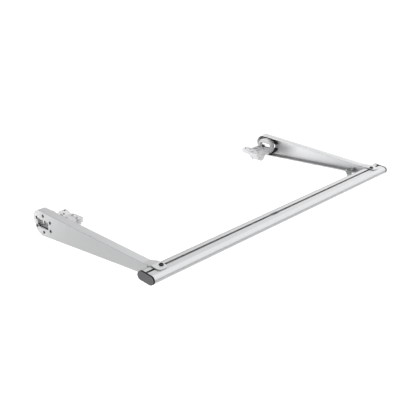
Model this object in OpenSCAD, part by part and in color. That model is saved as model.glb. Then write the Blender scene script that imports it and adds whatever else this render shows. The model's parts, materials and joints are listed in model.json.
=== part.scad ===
// Swinging pull bow: two tapered channel arms joined by an oval grip rail,
// each arm turning on the foot of a cast clamp bracket.
// X runs along the pivot axis, -Y points from the pivot to the rail, +Z is up.
// The origin is on the pivot axis, midway between the two arms.

/* [Overall] */
// Distance between the outer faces of the two arms
span = 750; // [600:1:1200]
// Distance from the pivot axis to the middle of the grip rail
reach = 319.5; // [260:0.5:420]
// Length of the whole rail with its end caps
overall_len = 800; // [660:1:1300]

/* [Arms] */
// Thickness of the arm sheet
sheet = 2; // [1.5:0.1:2.5]
// Width of the arm flanges, measured from the outer face
flange_w = 18.5; // [18:0.1:20]
// Half height of the arm at the pivot axis
hub_half = 26.3; // [26:0.1:27]
// Rise of each arm edge per millimetre of length
taper = 0.0544; // [0.045:0.0001:0.055]
// Width of the tab that lies on the rail
tab_w = 23; // [20:1:28]

/* [Grip rail] */
// Width of the oval rail
rail_w = 39; // [37:1:42]
// Height of the oval rail
rail_h = 17; // [16.5:0.5:18]
// Lean of the rail's section, front edge down
lean = 6; // [4:0.5:7]
// Wall of the oval rail
rail_wall = 2; // [1.6:0.1:2.2]
// Width of the mouth of the top groove
groove_w = 5; // [4:0.1:6]

/* [Brackets] */
// Radius of the bracket foot that turns between the arm pads
foot_r = 20.5; // [20:0.05:21]
// Radius of the bracket ring in front of the pads
ring_r = 22; // [21:0.1:23]
// Height of the bracket table's top face
table_z = -4; // [-6:0.5:-2]
// Thickness of the bracket table
table_t = 7; // [5:0.5:9]

/* [Hidden] */
$fn = 96;

SILVER = [0.78, 0.79, 0.80];
CAST = [0.72, 0.73, 0.74];
STEEL = [0.62, 0.63, 0.65];
BLACK = [0.10, 0.10, 0.11];
DARK = [0.30, 0.30, 0.31];

taper_a = atan(taper);
rear_c = 3.75;                          // centre of the big round of the hub, along Y
corner_y = 12.4;                        // centre of the upper rear corner round
corner_z = 6.2;
rail_r = rail_h / 2;
rail_y = -reach;
rail_z = 0.6;                           // centre of the rail's section above the pivot axis
groove_y = rail_y + 2.5;
cap_t = 2;                              // plate of each end cap
gasket_t = 3;                           // black ring between the cap and the rail
overhang = (overall_len - span) / 2;
rail_len = overall_len - 2 * cap_t - 2 * gasket_t;
web_front = reach - 15;                 // the web cups the rail this far
flange_front = reach - rail_w / 2;
tab_back = -reach + 34.5;               // the top flange starts to rise over the rail here
function flange_z(y) = hub_half + taper * y;    // height of the arm edge at y
// Height at y of the plane on the rail's flat top (side 1) or under its flat bottom (side -1)
function on_rail(y, side) = rail_z + side * (rail_r / cos(lean) + 0.1) + (y - rail_y) * tan(lean);

window = [-16.5, 19.5, -8.6, 8.6, 5];   // web window: y0, y1, z0, z1, corner radius
ring_window = [-16.5, 17, -9, 9.5, 6];
hub_holes = [[0, 17.7], [0, -17.7], [21.8, 8.9], [21.8, -8.9], [-21.8, 8.9], [-21.8, -8.9]];
pad_r = 24;
pad_t = 4;                              // pad plate between the web and the foot
lip_s = 9.3;                            // retaining lip of the pad starts here
foot_s = sheet + pad_t + 0.3;
brace_holes = [[13, -249], [8.5, -262]];
rail_foot = [70.5, -flange_front - 16];
table_holes = [[32, -1], [54, -1]];
clamp_at = [[72, -16.5], [76, 2]];
level_at = [[74, 28], [65, 19]];

// ---------- helpers ----------
module yz(t) { rotate([90, 0, 90]) linear_extrude(t) children(); }
module place(side) {
    if (side < 0) translate([-span / 2, 0, 0]) children();
    else mirror([1, 0, 0]) translate([-span / 2, 0, 0]) children();
}
module rounded(w) {
    translate([w[0] + w[4], w[2]]) square([w[1] - w[0] - 2 * w[4], w[3] - w[2]]);
    translate([w[0], w[2] + w[4]]) square([w[1] - w[0], w[3] - w[2] - 2 * w[4]]);
    for (u = [w[0] + w[4], w[1] - w[4]], v = [w[2] + w[4], w[3] - w[4]])
        translate([u, v]) circle(w[4]);
}
// Draws in the rail's own frame, which leans about the middle of its section
module at_rail() { translate([0, rail_y, rail_z]) rotate([lean, 0, 0]) translate([0, -rail_y, 0]) children(); }
module socket(af, depth) { cylinder(h = depth, r = af / sqrt(3), $fn = 6); }

// Oval of the rail inset by d, seen along X
module oval(d = 0) {
    for (s = [-1, 1]) translate([rail_y + s * (rail_w / 2 - rail_r), 0]) circle(rail_r - d);
    translate([rail_y - rail_w / 2 + rail_r, -rail_r + d])
        square([rail_w - 2 * rail_r, 2 * (rail_r - d)]);
}

// Side outline of an arm inset by d, from the hub to y = -front
module arm_outline(d, front) {
    r0 = flange_z(rear_c) * cos(taper_a) - d;
    r1 = (flange_z(corner_y) - corner_z) * cos(taper_a) - d;
    gap = norm([corner_y - rear_c, corner_z]);
    n = atan2(corner_z, corner_y - rear_c) - acos((r0 - r1) / gap);
    front_z = flange_z(-front) - d / cos(taper_a);
    p0 = r0 - 0.02;                     // the straights end just inside the rounds
    p1 = r1 - 0.02;
    polygon([[-front, front_z],
        [corner_y - p1 * sin(taper_a), corner_z + p1 * cos(taper_a)],
        [corner_y + p1 * cos(n), corner_z + p1 * sin(n)],
        [rear_c + p0 * cos(n), p0 * sin(n)],
        [rear_c - p0 * sin(taper_a), -p0 * cos(taper_a)],
        [-front, -front_z]]);
    translate([rear_c, 0]) circle(r0);
    translate([corner_y, corner_z]) circle(r1);
}

// ---------- arms ----------
// Sheet channel without its holes; the web is scribed to the oval of the rail
module arm_channel() {
    difference() {
        union() {
            yz(flange_w) arm_outline(0, web_front);
            translate([0, -web_front, 0]) cube([sheet, 14, rail_r + 2.1]);
        }
        translate([sheet, 0, 0]) yz(flange_w) arm_outline(sheet, web_front + 1);
        translate([sheet, -web_front - 1, -40]) cube([flange_w, web_front - flange_front + 1, 80]);
        translate([sheet, -web_front - 1, 0]) cube([flange_w, web_front + tab_back - 2, 40]);
        at_rail() translate([-1, 0, 0]) yz(flange_w + 10) oval(-0.15);
        translate([-1, -flange_front - 1, 8]) rotate([0, 90, 0]) cylinder(h = sheet + 2, r = 1.75);
    }
}
module arm(window_end) {
    difference() {
        union() {
            arm_channel();
            tab();
        }
        translate([-1, 0, 0]) yz(sheet + 2) rounded(window);
        if (window_end > window[1])
            translate([-1, 0, 0]) yz(sheet + 2) rounded([0, window_end, -4.5, 4.5, 3]);
        for (h = hub_holes) translate([-0.01, h[0], h[1]]) rotate([0, 90, 0])
            cylinder(h = sheet + 0.02, r1 = 3.75, r2 = 2.1);
        at_rail() translate([16, groove_y, 5]) cylinder(h = 20, r = 2.7);
        for (h = brace_holes) translate([h[0], h[1], -30]) cylinder(h = 28, r = 2.2);
    }
}

// Top flange carried on over the rail, with rounded free corners
module tab() {
    front = rail_y - 10;
    bend = rail_y + 10.5;
    top = flange_z(tab_back);
    intersection() {
        linear_extrude(40) union() {
            rounded([0, tab_w, front, front + 24, 8]);
            polygon([[0, front + 12], [tab_w, front + 12], [tab_w, tab_back - 15],
                [flange_w, tab_back - 5], [flange_w, tab_back + 2], [0, tab_back + 2]]);
        }
        translate([-1, 0, 0]) yz(tab_w + 10) polygon([[tab_back + 2, top - 1.7], [tab_back + 2, top - 0.5],
            [bend, on_rail(bend, 1) + sheet], [front - 1, on_rail(front - 1, 1) + sheet],
            [front - 1, on_rail(front - 1, 1)], [bend, on_rail(bend, 1)]]);
    }
}
module arm_left() { color(SILVER) place(-1) arm(0); }
module arm_right() { color(SILVER) place(1) arm(28); }

// ---------- rail with its T-shaped groove ----------
module channel() { translate([groove_y - 7.5, rail_r - 8]) square([15, 20]); }
module grip_rail() {
    color(SILVER) at_rail() difference() {
        translate([-rail_len / 2, 0, 0]) yz(rail_len) difference() {
            oval();
            difference() {
                oval(rail_wall);
                channel();
            }
            translate([groove_y - 5.5, rail_r - 6.2]) square([11, 4.2]);
            translate([groove_y - groove_w / 2, rail_r - 3]) square([groove_w, 4]);
            translate([rail_y - rail_w / 2 - 0.4, 1.2]) square([1.2, 1.3]);
        }
        translate([-42, groove_y - 3.5, rail_r - 3]) cube([22, 7, 5]);
        for (s = [-1, 1]) translate([s * (span / 2 - rail_foot[0]), rail_foot[1], -15])
            cylinder(h = 10, r = 2.2);
    }
}

// ---------- rail ends ----------
module plug(d) {
    difference() {
        oval(rail_wall + d);
        translate([-d, -d]) channel();
        translate([d, -d]) channel();
    }
}
module cap_gasket() {
    at_rail() translate([cap_t - overhang, 0, 0]) yz(gasket_t) difference() {
        oval(-0.3);
        plug(0.1);
    }
}
module end_cap() {
    at_rail() {
        translate([-overhang, 0, 0]) yz(cap_t) oval(0.2);
        translate([cap_t - overhang - 0.5, 0, 0]) yz(gasket_t + 9) plug(0.2);
    }
}
module cap_gasket_left() { color(BLACK) place(-1) cap_gasket(); }
module cap_gasket_right() { color(BLACK) place(1) cap_gasket(); }
module end_cap_left() { color(DARK) place(-1) end_cap(); }
module end_cap_right() { color(DARK) place(1) end_cap(); }

// ---------- tab screw and its nut in the groove ----------
module tab_screw() {
    at_rail() translate([16, groove_y, 0]) difference() {
        union() {
            translate([0, 0, rail_r + 0.15 + sheet]) cylinder(h = 2.4, r1 = 4.75, r2 = 3.4);
            translate([0, 0, rail_r - 6]) cylinder(h = 8.5, r = 2.4);
        }
        translate([0, 0, rail_r + sheet + 1]) socket(3, 3);
    }
}
module slot_nut() {
    at_rail() translate([16, groove_y, 0]) difference() {
        translate([-7, -4.8, rail_r - 6]) cube([14, 9.6, 3.6]);
        cylinder(h = 20, r = 2.45);
    }
}
module tab_screw_left() { color(BLACK) place(-1) tab_screw(); }
module tab_screw_right() { color(BLACK) place(1) tab_screw(); }
module slot_nut_left() { color(STEEL) place(-1) slot_nut(); }
module slot_nut_right() { color(STEEL) place(1) slot_nut(); }

// ---------- corner brace: under the lower flange, then diagonally under the rail ----------
module corner_brace() {
    y0 = -flange_front;
    under_flange = -flange_z(y0 + 28) - 0.1;
    difference() {
        intersection() {
            translate([0, 0, -30]) linear_extrude(40) polygon([
                [3, y0 + 56], [15, y0 + 56], [18.5, y0 + 50], [82, y0], [82, y0 - 24],
                [59, y0 - 24], [59, y0], [18.5, y0 + 35], [15, y0 + 29], [3, y0 + 29]]);
            yz(100) polygon([[y0 - 30, on_rail(y0 - 30, -1)], [y0 + 2, on_rail(y0 + 2, -1)],
                [y0 + 28, under_flange], [y0 + 60, -flange_z(y0 + 60) - 0.1],
                [y0 + 60, -flange_z(y0 + 60) - 2.1], [y0 + 28, under_flange - 2],
                [y0 + 2, on_rail(y0 + 2, -1) - 2], [y0 - 30, on_rail(y0 - 30, -1) - 2]]);
        }
        for (h = brace_holes) translate([h[0], h[1], -30]) cylinder(h = 28, r = 2.2);
        at_rail() translate([rail_foot[0], rail_foot[1], -20]) cylinder(h = 15, r = 2.2);
    }
}
module corner_brace_left() { color(SILVER) place(-1) corner_brace(); }
module corner_brace_right() { color(SILVER) place(1) corner_brace(); }

// Two screws through the flange and one up into the rail
module brace_screws() {
    for (i = [0, 1]) {
        inside = -flange_z(brace_holes[i][1]) + sheet + 0.2;
        translate([brace_holes[i][0], brace_holes[i][1], inside]) {
            cylinder(h = 2.4 + 2.4 * i, r = 3.4 - 0.4 * i);
            translate([0, 0, -7]) cylinder(h = 7.5, r = 2);
        }
    }
    at_rail() translate([rail_foot[0], rail_foot[1], -rail_r - 2.3]) {
        translate([0, 0, -2.4]) cylinder(h = 2.4, r = 3.6);
        translate([0, 0, -0.5]) cylinder(h = 8, r = 2);
    }
}
module brace_screws_left() { color(STEEL) place(-1) brace_screws(); }
module brace_screws_right() { color(STEEL) place(1) brace_screws(); }

// ---------- bearing pads, three screws each ----------
module above(z) { intersection() { children(); translate([-50, z]) square([100, 50]); } }
module pad() {
    difference() {
        union() {
            translate([sheet, 0, 0]) yz(pad_t) difference() {
                union() {
                    above(8.9) circle(pad_r);
                    for (u = [-21.8, 21.8]) translate([u, 8.9]) circle(4);
                    translate([-21.8, 4.9]) square([43.6, 4.1]);
                }
                rounded([-16.8, 19.8, -9.2, 9.2, 5]);
            }
            translate([sheet + pad_t, 0, 0]) yz(lip_s - sheet - pad_t) above(9.6) difference() {
                circle(pad_r);
                circle(foot_r + 0.05);
            }
            translate([lip_s, 0, 0]) yz(2.4) above(9.6) difference() {
                circle(pad_r);
                circle(18.3);
            }
        }
        for (h = hub_holes) translate([sheet - 1, h[0], h[1]]) rotate([0, 90, 0])
            cylinder(h = pad_t, r = 2.05);
    }
}
module upper_pad_left() { color(BLACK) place(-1) pad(); }
module upper_pad_right() { color(BLACK) place(1) pad(); }
module lower_pad_left() { color(BLACK) place(-1) mirror([0, 0, 1]) pad(); }
module lower_pad_right() { color(BLACK) place(1) mirror([0, 0, 1]) pad(); }

module hub_screws() {
    for (h = hub_holes) translate([0, h[0], h[1]]) rotate([0, 90, 0]) difference() {
        union() {
            translate([0, 0, 0.25]) cylinder(h = 1.6, r1 = 3.4, r2 = 2);
            translate([0, 0, 1.7]) cylinder(h = 3.1, r = 2);
        }
        translate([0, 0, -0.1]) socket(2.5, 1.5);
    }
}
module hub_screws_left() { color(BLACK) place(-1) hub_screws(); }
module hub_screws_right() { color(BLACK) place(1) hub_screws(); }

// ---------- cast bracket: foot, neck and ring, then a level table ----------
module bracket() {
    under = table_z - table_t;
    difference() {
        union() {
            translate([foot_s, 0, 0]) yz(2.7) circle(foot_r);
            translate([foot_s + 2, 0, 0]) yz(4.5) circle(17.9);
            translate([12.3, 0, 0]) yz(13.7) circle(ring_r);
            translate([0, 0, under]) linear_extrude(table_t) polygon([
                [19.5, -17], [34, -20], [84, -20], [84, 9], [80, 13], [80, 26], [28, 27], [19.5, 18]]);
            translate([table_holes[1][0], table_holes[1][1], table_z]) cylinder(h = 2.4, r = 6.5);
            translate([75.5, -19.5, under]) cylinder(h = table_t, r = 7.5);
            translate([60, 0, 0]) yz(20) union() {
                translate([29.5, -4]) circle(5.4);
                polygon([[10, under], [10, table_z - 0.5], [13, table_z], [28, 1.2], [30, -9.4], [26, under]]);
            }
            for (y = [-15, 11]) translate([25.5, y, 0]) rotate([90, 0, 0]) mirror([0, 0, 1])
                linear_extrude(4) polygon([[0, under + 1], [0, -19], [8, under], [8, under + 1]]);
        }
        translate([5, 0, 0]) yz(21.01) rounded(ring_window);
        translate([5, -40, ring_window[2]]) cube([7.2, 80, ring_window[3] - ring_window[2]]);
        translate([12.1, 0, ring_window[2]]) cube([3.9, 40, ring_window[3] - ring_window[2]]);
        for (h = table_holes) translate([h[0], h[1], -20]) cylinder(h = 30, r = 3.3);
        for (h = clamp_at) translate([h[0], h[1], -20]) cylinder(h = 30, r = 2.7);
        for (h = level_at) translate([h[0], h[1], -20]) cylinder(h = 30, r = 2.45);
        translate([0, 0, table_z - 3]) linear_extrude(5) rounded([41, 57, 10, 22, 3]);
        translate([0, 0, -20]) linear_extrude(20) rounded([28, 31, 10, 23, 1.4]);
    }
}
module bracket_left() { color(CAST) place(-1) bracket(); }
module bracket_right() { color(CAST) place(1) bracket(); }

// ---------- clamp jaw hanging under the table on two screws ----------
module clamp_jaw() {
    top = table_z - table_t - 0.4;
    difference() {
        translate([0, 8, 0]) rotate([90, 0, 0]) linear_extrude(27.5) polygon([
            [46, top], [56, -25.5], [66, -26.5], [80, -17.5], [80, top]]);
        for (h = clamp_at) translate([h[0], h[1], -40]) cylinder(h = 40, r = 2.45);
        translate([52, -13, -30]) cube([9, 14, 14]);
    }
}
module clamp_jaw_left() { color(CAST) place(-1) clamp_jaw(); }
module clamp_jaw_right() { color(CAST) place(1) clamp_jaw(); }
module clamp_screws() {
    for (h = clamp_at) translate([h[0], h[1], table_z]) difference() {
        union() {
            translate([0, 0, 0.05]) cylinder(h = 2, r1 = 3.9, r2 = 3);
            translate([0, 0, -19]) cylinder(h = 19.5, r = 2.4);
        }
        translate([0, 0, 0.8]) socket(2.5, 3);
    }
}
module clamp_screws_left() { color(STEEL) place(-1) clamp_screws(); }
module clamp_screws_right() { color(STEEL) place(1) clamp_screws(); }

// Socket set screws in the rear lug of the table
module levelling_screws() {
    for (i = [0, 1]) translate([level_at[i][0], level_at[i][1], table_z - 6.5]) difference() {
        cylinder(h = 10.6 - 3.2 * i, r = 2.4);
        translate([0, 0, 8.6 - 3.2 * i]) socket(2.5, 3);
    }
}
module levelling_screws_left() { color(BLACK) place(-1) levelling_screws(); }
module levelling_screws_right() { color(BLACK) place(1) levelling_screws(); }

arm_left();
arm_right();
grip_rail();
cap_gasket_left();
cap_gasket_right();
end_cap_left();
end_cap_right();
tab_screw_left();
tab_screw_right();
slot_nut_left();
slot_nut_right();
corner_brace_left();
corner_brace_right();
brace_screws_left();
brace_screws_right();
upper_pad_left();
lower_pad_left();
upper_pad_right();
lower_pad_right();
hub_screws_left();
hub_screws_right();
bracket_left();
bracket_right();
clamp_jaw_left();
clamp_jaw_right();
clamp_screws_left();
clamp_screws_right();
levelling_screws_left();
levelling_screws_right();
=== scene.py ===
"""Looks, light and camera for the swinging pull bow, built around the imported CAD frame."""

import json
import math

import bpy
from mathutils import Matrix, Vector

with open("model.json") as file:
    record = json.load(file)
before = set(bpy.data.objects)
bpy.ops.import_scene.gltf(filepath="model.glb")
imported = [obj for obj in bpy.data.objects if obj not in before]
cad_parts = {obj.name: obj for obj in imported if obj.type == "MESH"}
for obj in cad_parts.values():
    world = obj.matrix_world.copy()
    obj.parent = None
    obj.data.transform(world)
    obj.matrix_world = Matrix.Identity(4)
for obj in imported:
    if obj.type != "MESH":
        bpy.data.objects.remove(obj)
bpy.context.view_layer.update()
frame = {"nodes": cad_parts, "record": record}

MM = 0.001


# ---------------------------------------------------------------- node trees
EVEN = (1, 1, 1)           # noise drawn out along no axis
NOISE_ROUGHNESS = 0.55
NOISE_SPAN = (0.3, 0.7)    # the part of the noise's range that it mostly fills
FULL = (0.0, 1.0)


class Nodes:
    """Short names for building one node tree."""

    def __init__(self, owner):
        owner.use_nodes = True
        self.tree = owner.node_tree
        self.tree.nodes.clear()

    def add(self, kind, settings=None, **inputs):
        node = self.tree.nodes.new(kind)
        for key, value in (settings or {}).items():
            setattr(node, key, value)
        for key, value in inputs.items():
            self.feed(node.inputs[key.replace("_", " ")], value)
        return node

    def feed(self, socket, value):
        """Link a socket to another node's output, or set its value."""
        if isinstance(value, bpy.types.NodeSocket):
            self.tree.links.new(value, socket)
        else:
            socket.default_value = value

    def math(self, operation, a, b):
        node = self.add("ShaderNodeMath", {"operation": operation})
        self.feed(node.inputs[0], a)
        self.feed(node.inputs[1], b)
        return node.outputs[0]

    def dot(self, a, b):
        node = self.add("ShaderNodeVectorMath", {"operation": "DOT_PRODUCT"})
        self.feed(node.inputs[0], a)
        self.feed(node.inputs[1], b)
        return node.outputs["Value"]

    def noise(self, vector, stretch, scale, detail):
        """Noise between 0 and 1 at `scale` cells a metre, drawn out along the axes with small stretch."""
        mapping = self.add("ShaderNodeMapping", Vector=vector, Scale=stretch)
        node = self.add("ShaderNodeTexNoise", Vector=mapping.outputs[0], Scale=scale,
                        Detail=detail, Roughness=NOISE_ROUGHNESS)
        return node.outputs["Fac"]

    def span(self, value, source, target):
        """Map the range source to the range target, and hold the ends outside it."""
        node = self.add("ShaderNodeMapRange", Value=value, From_Min=source[0], From_Max=source[1],
                        To_Min=target[0], To_Max=target[1])
        return node.outputs[0]

    def mix(self, factor, a, b):
        """Mix two colours; a Mix node's colour sockets are its inputs 6 and 7 and its output 2."""
        node = self.add("ShaderNodeMix", {"data_type": "RGBA"})
        for index, value in ((0, factor), (6, a), (7, b)):
            self.feed(node.inputs[index], value)
        return node.outputs[2]

    def finish_surface(self, shine, **inputs):
        """End a material in one shader, with the specular level on the shader's own socket."""
        shader = self.add("ShaderNodeBsdfPrincipled", **inputs)
        shader.inputs["Specular IOR Level"].default_value = shine
        out = self.add("ShaderNodeOutputMaterial")
        self.feed(out.inputs["Surface"], shader.outputs[0])


# ---------------------------------------------------------------- materials
CLOUD_CELLS = 14.0         # cells a metre
CLOUD_DETAIL = 4.0
CLOUD_ROUGH = 0.02         # how far the clouds move the roughness
FINE_DETAIL = 3.0
FINER_RATIO = 3.1          # the finer grain's cells to the fine grain's
FINER_DETAIL = 2.0
FINER_SHARE = 0.5          # the largest share of the darker tint in the finer grain
BEVEL_SAMPLES = 6
EDGE_SPAN = (0.995, 0.85)  # cosine between the flat and the softened normal, from face to edge
# Edge tint settings: a lighter edge tint paints rubbed wear, and a darker one paints shade along edges
# and bends.
EDGE_WEAR_AND_SHADE_NOISE = (0.35, 0.6)
EDGE_WEAR_AND_SHADE_SPAN = (0.5, 1.0)     # the edge tint's share along an edge, which follows the fine grain


def tint(color, factor):
    """The colour made lighter or darker, with full alpha."""
    return tuple(min(1.0, c * factor) for c in color) + (1.0,)


def surface(name, color, metallic, roughness, grain, stretch=EVEN, bump=0.1, bump_mm=0.05,
            edge_mm=0.5, edge_wear_and_shade_tint=1.12, cloud=0.03, rough_swing=0.06, shine=0.5):
    """A finish with cloudy colour, grain in roughness and relief, and softened edges whose tint paints
    wear where it is lighter and shade where it is darker.
    """
    material = bpy.data.materials.new(name)
    n = Nodes(material)
    place = n.add("ShaderNodeTexCoord").outputs["Object"]
    clouds = n.noise(place, EVEN, CLOUD_CELLS, CLOUD_DETAIL)
    fine = n.noise(place, stretch, grain, FINE_DETAIL)
    finer = n.noise(place, stretch, grain * FINER_RATIO, FINER_DETAIL)

    flat = n.add("ShaderNodeNewGeometry").outputs["Normal"]
    soft = n.add("ShaderNodeBevel", {"samples": BEVEL_SAMPLES}, Radius=edge_mm * MM).outputs[0]
    edge = n.span(n.dot(flat, soft), EDGE_SPAN, FULL)
    # Mask of the edges, broken up by the fine grain. The edge tint mixed in below paints rubbed wear
    # where it is lighter than the colour, and painted shade along edges and bends where it is darker.
    wear_and_edge_shade = n.math("MULTIPLY", edge, n.span(fine, EDGE_WEAR_AND_SHADE_NOISE, EDGE_WEAR_AND_SHADE_SPAN))

    base = n.mix(n.span(clouds, NOISE_SPAN, FULL), tint(color, 1 - cloud), tint(color, 1 + cloud))
    darker = n.span(finer, NOISE_SPAN, (0.0, FINER_SHARE))
    grained = n.mix(darker, base, tint(color, 1 - 2 * cloud))
    wear_and_shade_tinted = n.mix(wear_and_edge_shade, grained, tint(color, edge_wear_and_shade_tint))

    rough_span = (roughness - rough_swing, roughness + rough_swing)
    rough = n.math("ADD", n.span(fine, NOISE_SPAN, rough_span),
                   n.span(clouds, NOISE_SPAN, (-CLOUD_ROUGH, CLOUD_ROUGH)))
    relief = n.add("ShaderNodeBump", Strength=bump, Distance=bump_mm * MM, Height=fine, Normal=soft)
    n.finish_surface(shine, Base_Color=wear_and_shade_tinted, Roughness=rough, Normal=relief.outputs[0],
                     Metallic=metallic)
    return material


# One finish for each material slot of the record.
# The arm sheet's grain is drawn out along Y and the rail's along X.
FINISHES = {
    # The arm sheet's darker edge tint paints shade along its edges and bends.
    "arm_sheet": dict(
        name="satin_sheet", color=(0.47, 0.474, 0.48), metallic=0.6, roughness=0.36,
        grain=1500.0, stretch=(1, 0.25, 1), bump=0.10, edge_mm=1.1, edge_wear_and_shade_tint=0.72, cloud=0.02),
    "rail_aluminium": dict(
        name="extruded_rail", color=(0.41, 0.414, 0.42), metallic=0.85, roughness=0.30,
        grain=2600.0, stretch=(0.012, 1, 1), bump=0.12, bump_mm=0.03, edge_mm=0.3, cloud=0.02),
    # The casting's darker edge tint paints shade along its edges.
    "cast_metal": dict(
        name="blasted_casting", color=(0.51, 0.51, 0.52), metallic=0.25, roughness=0.50,
        grain=900.0, bump=0.30, bump_mm=0.12, edge_mm=0.9, edge_wear_and_shade_tint=0.75, cloud=0.04),
    "steel": dict(
        name="zinc_steel", color=(0.50, 0.51, 0.52), metallic=0.9, roughness=0.28,
        grain=1800.0, bump=0.12, edge_mm=0.4, edge_wear_and_shade_tint=1.2, cloud=0.05),
    "black_steel": dict(
        name="black_oxide", color=(0.016, 0.016, 0.018), metallic=0.0, roughness=0.5,
        grain=1600.0, bump=0.15, edge_mm=0.3, edge_wear_and_shade_tint=1.6, cloud=0.1, shine=0.25),
    "pad_black": dict(
        name="bearing_plastic", color=(0.030, 0.030, 0.032), metallic=0.0, roughness=0.55,
        grain=1300.0, bump=0.25, bump_mm=0.06, edge_mm=0.4, edge_wear_and_shade_tint=1.8, cloud=0.1, shine=0.25),
    "black_rubber": dict(
        name="rubber_ring", color=(0.008, 0.008, 0.008), metallic=0.0, roughness=0.7,
        grain=1100.0, bump=0.3, bump_mm=0.08, edge_mm=0.4, edge_wear_and_shade_tint=1.6, cloud=0.12, shine=0.1),
    "cap_grey": dict(
        name="cap_plastic", color=(0.105, 0.105, 0.11), metallic=0.0, roughness=0.5,
        grain=1400.0, bump=0.35, bump_mm=0.08, edge_mm=0.6, edge_wear_and_shade_tint=1.5, cloud=0.05),
}

materials = {slot: surface(**finish) for slot, finish in FINISHES.items()}
for part in frame["record"]["subparts"]:
    mesh = frame["nodes"][part["node"]].data
    mesh.materials.clear()
    mesh.materials.append(materials[part["material_slot"]])


# ---------------------------------------------------------------- floor
FLOOR_HEIGHT = -0.36       # just below the rail when the bow hangs straight down
FLOOR_SIZE = 80.0
FLOOR_TONES = ((0.93, 0.93, 0.93, 1), (0.95, 0.95, 0.95, 1))
FLOOR_CELLS = 3.0          # cells a metre
FLOOR_DETAIL = 3.0


def make_floor(height, size):
    mesh = bpy.data.meshes.new("floor")
    h = size / 2
    corners = [(-h, -h, height), (h, -h, height), (h, h, height), (-h, h, height)]
    mesh.from_pydata(corners, [], [(0, 1, 2, 3)])
    floor = bpy.data.objects.new("floor", mesh)
    bpy.context.scene.collection.objects.link(floor)
    material = bpy.data.materials.new("pale_floor")
    n = Nodes(material)
    place = n.add("ShaderNodeTexCoord").outputs["Object"]
    pale = n.mix(n.noise(place, EVEN, FLOOR_CELLS, FLOOR_DETAIL), *FLOOR_TONES)
    n.finish_surface(shine=0.1, Base_Color=pale, Roughness=0.9)
    mesh.materials.append(material)


make_floor(FLOOR_HEIGHT, FLOOR_SIZE)


# ---------------------------------------------------------------- light
BRIGHT_SIDE = (0.7, -0.4, 0.6)   # the studio is brightest high on the +X side
BRIGHT_SPAN = (0.25, 0.75)       # dot product of heading and BRIGHT_SIDE, from the rear to full light
STUDIO_STRENGTH = (0.5, 2.0)
SWEEP_SPAN = (0.22, 0.32)        # rise of the heading over which the pale sweep at the horizon ends
SWEEP_STRENGTH = (1.02, 0.0)


def make_studio():
    world = bpy.data.worlds.new("studio")
    bpy.context.scene.world = world
    n = Nodes(world)
    heading = n.add("ShaderNodeTexCoord").outputs["Generated"]
    rise = n.add("ShaderNodeSeparateXYZ", Vector=heading).outputs["Z"]
    studio = n.span(n.dot(heading, BRIGHT_SIDE), BRIGHT_SPAN, STUDIO_STRENGTH)
    glow = n.math("MAXIMUM", studio, n.span(rise, SWEEP_SPAN, SWEEP_STRENGTH))
    backdrop = n.add("ShaderNodeBackground", Color=(1, 1, 1, 1), Strength=glow)
    n.feed(n.add("ShaderNodeOutputWorld").inputs["Surface"], backdrop.outputs[0])


def soft_box(name, place, aim, size, watts):
    """A rectangular lamp that the camera doesn't see."""
    data = bpy.data.lights.new(name, "AREA")
    data.shape = "RECTANGLE"
    data.size, data.size_y = size
    data.energy = watts
    lamp = bpy.data.objects.new(name, data)
    lamp.location = place
    lamp.rotation_euler = (Vector(aim) - Vector(place)).to_track_quat("-Z", "Y").to_euler()
    lamp.visible_camera = False
    bpy.context.scene.collection.objects.link(lamp)


make_studio()
soft_box("key", place=(-1.6, -1.6, 1.6), aim=(0, -0.15, 0), size=(1.2, 1.2), watts=5)
# The low fill lights the inner side of the +X arm and leaves its lower flange dark.
soft_box("fill", place=(-0.30, 0.45, -0.10), aim=(0.375, -0.12, 0), size=(0.5, 0.15), watts=2.1)


# ---------------------------------------------------------------- camera
def look(place, yaw, pitch, roll, lens):
    """A camera whose heading turns from +Y to +X by yaw, tips down by pitch and rolls about its axis.

    The angles are in degrees, the place in metres and the lens in millimetres on a 36 mm sensor.
    """
    yaw, pitch, roll = (math.radians(angle) for angle in (yaw, pitch, roll))
    ahead = Vector((math.sin(yaw) * math.cos(pitch), math.cos(yaw) * math.cos(pitch), -math.sin(pitch)))
    level = Vector((math.cos(yaw), -math.sin(yaw), 0))
    upright = level.cross(ahead)
    right = level * math.cos(roll) + upright * math.sin(roll)
    up = upright * math.cos(roll) - level * math.sin(roll)
    data = bpy.data.cameras.new("camera")
    data.sensor_width = 36
    data.lens = lens
    camera = bpy.data.objects.new("camera", data)
    turn = Matrix((right, up, -ahead)).transposed().to_4x4()
    camera.matrix_world = Matrix.Translation(place) @ turn
    bpy.context.scene.collection.objects.link(camera)
    bpy.context.scene.camera = camera


look(place=(-1.1642, -1.1408, 0.5831), yaw=48.58, pitch=22.153, roll=0.595, lens=62.73)

bpy.context.scene.view_settings.view_transform = "Standard"
